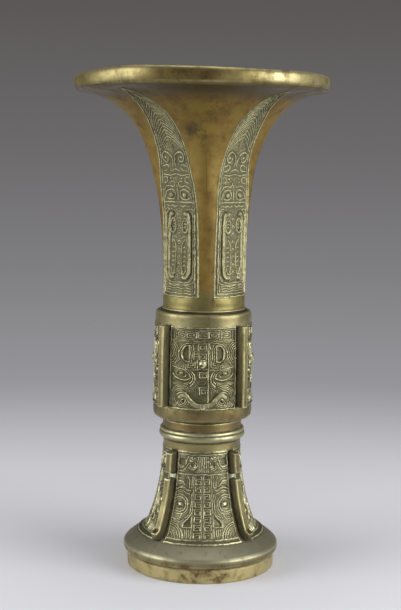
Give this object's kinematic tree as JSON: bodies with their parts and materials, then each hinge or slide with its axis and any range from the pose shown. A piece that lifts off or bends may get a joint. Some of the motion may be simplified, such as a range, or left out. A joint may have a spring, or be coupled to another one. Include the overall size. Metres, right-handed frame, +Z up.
{
  "type": "gu vase",
  "caption": "Slender bronze altar vase in gu beaker form: trumpet mouth, barrel knop and spreading hollow foot with flanges and cast relief.",
  "frame": {"origin": "centre of the foot's resting face, on the vase's axis", "axes": "+Z up the vase's axis to the mouth, -Y towards the viewer in front of one decorated face, +X to the viewer's right"},
  "size_m": [0.1528, 0.1528, 0.3],
  "materials": {
    "patinated_bronze": "cast bronze with a thin grey-green patina in the sunk ground and worn olive-gold high points",
    "rubbed_bronze": "smooth handled bronze, olive gold",
    "dull_solder": "dark tarnished solder in the joint lines"
  },
  "bodies": {
    "root": {"trumpet_neck": "patinated_bronze", "neck_solder_ring": "dull_solder", "knop": "patinated_bronze", "knop_flange_1": "rubbed_bronze", "knop_flange_2": "rubbed_bronze", "knop_flange_3": "rubbed_bronze", "knop_flange_4": "rubbed_bronze", "foot_solder_ring": "dull_solder", "vessel_floor": "patinated_bronze", "foot": "patinated_bronze", "foot_lower_flange_1": "rubbed_bronze", "foot_lower_flange_2": "rubbed_bronze", "foot_lower_flange_3": "rubbed_bronze", "foot_lower_flange_4": "rubbed_bronze", "foot_upper_flange_1": "rubbed_bronze", "foot_upper_flange_2": "rubbed_bronze", "foot_upper_flange_3": "rubbed_bronze", "foot_upper_flange_4": "rubbed_bronze"}
  },
  "joints": []
}
